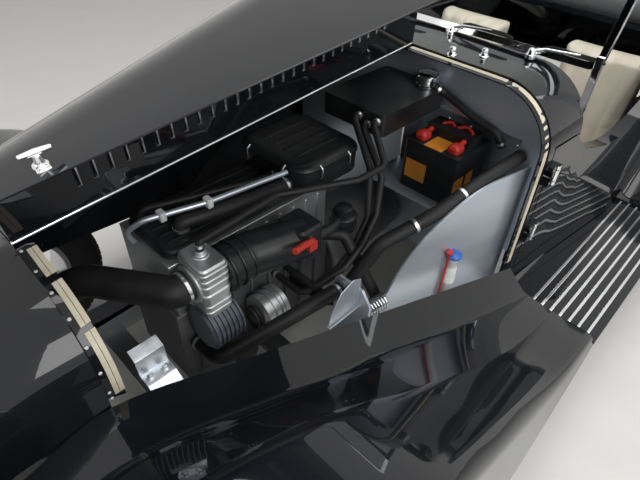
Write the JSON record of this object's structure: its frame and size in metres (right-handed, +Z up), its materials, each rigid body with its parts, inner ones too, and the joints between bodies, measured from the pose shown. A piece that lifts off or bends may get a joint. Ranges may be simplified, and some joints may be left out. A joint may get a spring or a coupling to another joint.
{
  "type": "sports roadster",
  "caption": "Open two-seat roadster with separate wings, running boards and a centre-hinged louvred bonnet, one half raised over the engine.",
  "frame": {"origin": "on the ground, mid-length and mid-width of the car", "axes": "+X forward, +Y to the car's left, +Z up"},
  "size_m": [3.83, 1.6476, 1.4568],
  "materials": {
    "body_paint": "deep gloss black paint",
    "chassis_metal": "satin, anodised",
    "bare_aluminium": "satin sheet",
    "cast_alloy": "as cast",
    "black_plastic": "moulded, satin",
    "black_rubber": "matt",
    "chrome_trim": "polished",
    "tyre_rubber": "matt",
    "wheel_silver": "silver paint",
    "steel_dark": "black coated",
    "exhaust_steel": "brushed",
    "screen_glass": "clear",
    "seat_leather": "pale grain",
    "dash_leather": "black grain",
    "washer_white": "translucent white"
  },
  "bodies": {
    "root": {"airbox": "black_plastic", "battery": "black_plastic", "bay_panels": "bare_aluminium", "body_tub": "body_paint", "bumpers": "chrome_trim", "chassis_frame": "chassis_metal", "coolant_hose": "black_rubber", "dashboard": "dash_leather", "engine_block": "cast_alloy", "exhaust": "exhaust_steel", "floor_pan": "chassis_metal", "front_suspension": "steel_dark", "front_wing_left": "body_paint", "front_wing_right": "body_paint", "grille_slats": "chrome_trim", "header_tank": "black_plastic", "headlamps": "chrome_trim", "hinge_rod": "chrome_trim", "intake_manifold": "black_plastic", "junction_box": "black_plastic", "radiator": "black_plastic", "radiator_cowl": "body_paint", "rear_axle": "steel_dark", "rear_body": "body_paint", "rear_springs": "steel_dark", "rear_wing_left": "body_paint", "rear_wing_right": "body_paint", "running_boards": "body_paint", "seats": "seat_leather", "throttle_housing": "cast_alloy", "washer_filler": "washer_white", "windscreen_frame": "chrome_trim", "windscreen_glass": "screen_glass"},
    "knuckle_left": {"knuckle_left": "steel_dark"},
    "knuckle_right": {"knuckle_right": "steel_dark"},
    "wheel_front_left": {"tyre_front_left": "tyre_rubber", "rim_front_left": "wheel_silver"},
    "wheel_front_right": {"tyre_front_right": "tyre_rubber", "rim_front_right": "wheel_silver"},
    "wheel_rear_left": {"tyre_rear_left": "tyre_rubber", "rim_rear_left": "wheel_silver"},
    "wheel_rear_right": {"tyre_rear_right": "tyre_rubber", "rim_rear_right": "wheel_silver"},
    "bonnet_left": {"bonnet_left": "body_paint"},
    "bonnet_right": {"bonnet_right": "body_paint"},
    "door_left": {"door_left": "body_paint"},
    "door_right": {"door_right": "body_paint"},
    "steering_wheel": {"steering_wheel": "dash_leather"}
  },
  "joints": [
    {"name": "steer_left", "type": "hinge", "parent": "root", "child": "knuckle_left", "pos_m": [1.355, 0.59, 0.307], "axis": [0, 0, 1], "range_deg": [-33, 33]},
    {"name": "steer_right", "type": "hinge", "parent": "root", "child": "knuckle_right", "pos_m": [1.355, -0.59, 0.307], "axis": [0, 0, 1], "range_deg": [-33, 33]},
    {"name": "steering_column", "type": "hinge", "parent": "root", "child": "steering_wheel", "pos_m": [-0.215, -0.298, 0.8], "axis": [-0.9511, 0, 0.309], "range_deg": [-462, 462]},
    {"name": "spin_front_left", "type": "hinge", "parent": "knuckle_left", "child": "wheel_front_left", "pos_m": [1.355, 0.6725, 0.307], "axis": [0, 1, 0], "continuous": true},
    {"name": "spin_front_right", "type": "hinge", "parent": "knuckle_right", "child": "wheel_front_right", "pos_m": [1.355, -0.6725, 0.307], "axis": [0, 1, 0], "continuous": true},
    {"name": "spin_rear_left", "type": "hinge", "parent": "root", "child": "wheel_rear_left", "pos_m": [-1.165, 0.6725, 0.307], "axis": [0, 1, 0], "continuous": true},
    {"name": "spin_rear_right", "type": "hinge", "parent": "root", "child": "wheel_rear_right", "pos_m": [-1.165, -0.6725, 0.307], "axis": [0, 1, 0], "continuous": true},
    {"name": "bonnet_left_hinge", "type": "hinge", "parent": "root", "child": "bonnet_left", "pos_m": [1.335, 0, 0.894], "axis": [-0.9965, 0, 0.0836], "range_deg": [0, 86]},
    {"name": "bonnet_right_hinge", "type": "hinge", "parent": "root", "child": "bonnet_right", "pos_m": [1.335, 0, 0.894], "axis": [-0.9965, 0, 0.0836], "range_deg": [0, 76]},
    {"name": "door_left_hinge", "type": "hinge", "parent": "root", "child": "door_left", "pos_m": [0.1675, 0.506, 0.66], "axis": [0, 0, -1], "range_deg": [0, 62]},
    {"name": "door_right_hinge", "type": "hinge", "parent": "root", "child": "door_right", "pos_m": [0.1675, -0.506, 0.66], "axis": [0, 0, 1], "range_deg": [0, 62]}
  ],
  "couplings": [
    {"joint": "steer_right", "follows": "steer_left", "ratio": 1},
    {"joint": "steering_column", "follows": "steer_left", "ratio": 14}
  ]
}
